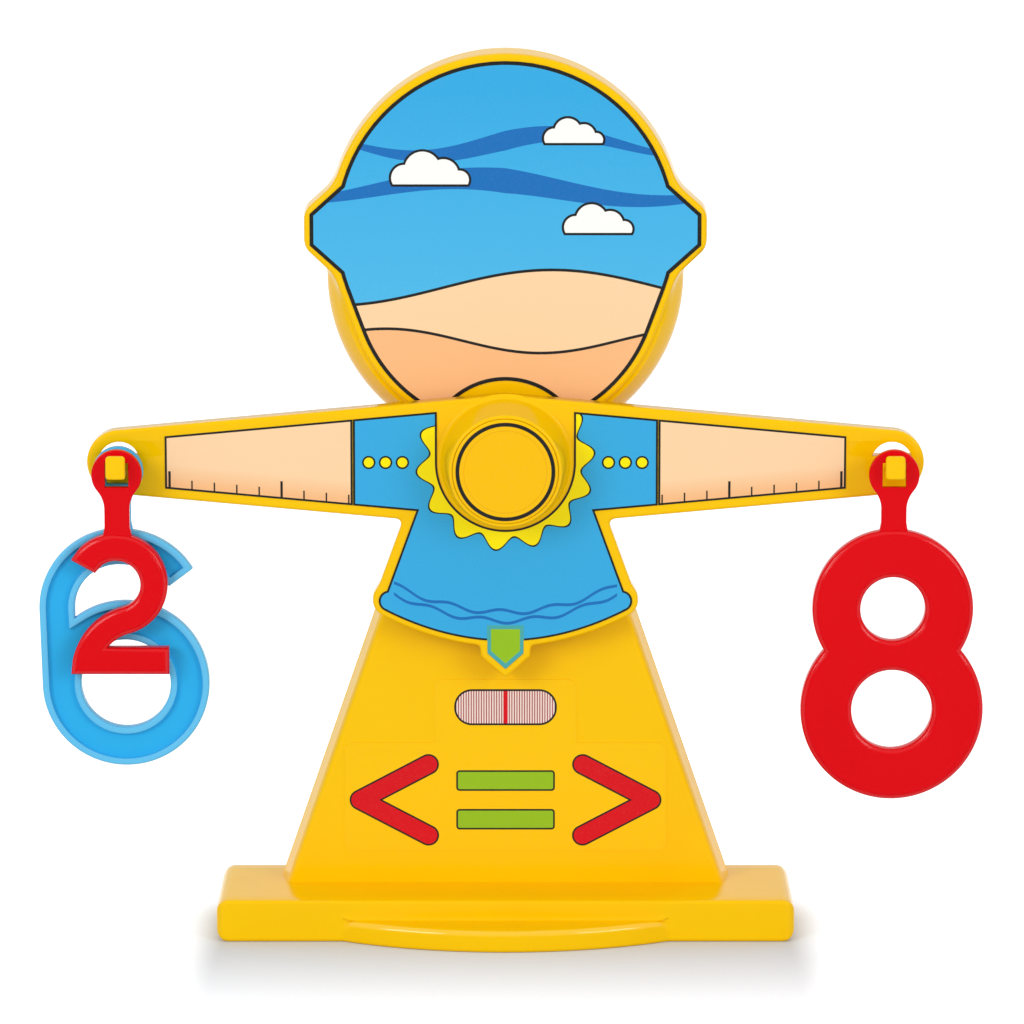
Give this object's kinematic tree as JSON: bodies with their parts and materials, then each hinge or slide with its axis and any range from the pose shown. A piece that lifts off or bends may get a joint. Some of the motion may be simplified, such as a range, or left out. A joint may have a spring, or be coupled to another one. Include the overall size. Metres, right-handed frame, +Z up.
{
  "type": "number balance toy",
  "caption": "Figure-shaped plastic balance toy: a tilting beam with a pointer and end hooks on a stand, with hanging numbers that balance like a sum.",
  "frame": {"origin": "middle of the bottom plate, on the floor under the stand", "axes": "+X to the right seen from the front, +Y to the back, +Z up"},
  "size_m": [0.4214, 0.09, 0.3975],
  "materials": {
    "yellow_plastic": "glossy moulded",
    "red_plastic": "glossy moulded",
    "blue_plastic": "glossy moulded",
    "white_plastic": "natural nylon",
    "steel": "bright zinc plated",
    "head_print": "printed film",
    "shirt_print": "printed film",
    "arm_print": "printed film",
    "hub_print": "printed film",
    "dial_print": "printed film"
  },
  "bodies": {
    "stand": {"base_shell": "yellow_plastic", "base_plate": "yellow_plastic", "base_screws": "steel", "stand_bolts": "steel", "stand_front_shell": "yellow_plastic", "stand_back_shell": "yellow_plastic", "stand_screws": "steel", "pivot_axle": "steel", "thrust_washer": "white_plastic", "retaining_washer": "steel", "retaining_screw": "steel", "head_label": "head_print", "dial_label": "dial_print"},
    "beam": {"beam": "yellow_plastic", "hub_cap": "yellow_plastic", "hub_label": "hub_print", "shirt_label": "shirt_print", "left_arm_label": "arm_print", "right_arm_label": "arm_print"},
    "two": {"number_two": "red_plastic"},
    "six": {"number_six": "blue_plastic"},
    "eight": {"number_eight": "red_plastic"}
  },
  "joints": [
    {"name": "beam_tilt", "type": "hinge", "parent": "stand", "child": "beam", "pos_m": [0, -0.025, 0.2155], "axis": [0, 1, 0], "range_deg": [-12, 12]},
    {"name": "two_swing", "type": "hinge", "parent": "beam", "child": "two", "pos_m": [-0.1725, -0.0315, 0.2135], "axis": [0, 1, 0], "range_deg": [-45, 45]},
    {"name": "six_swing", "type": "hinge", "parent": "beam", "child": "six", "pos_m": [-0.1725, -0.0225, 0.2135], "axis": [0, 1, 0], "range_deg": [-45, 45]},
    {"name": "eight_swing", "type": "hinge", "parent": "beam", "child": "eight", "pos_m": [0.1725, -0.0315, 0.2135], "axis": [0, 1, 0], "range_deg": [-45, 45]}
  ]
}
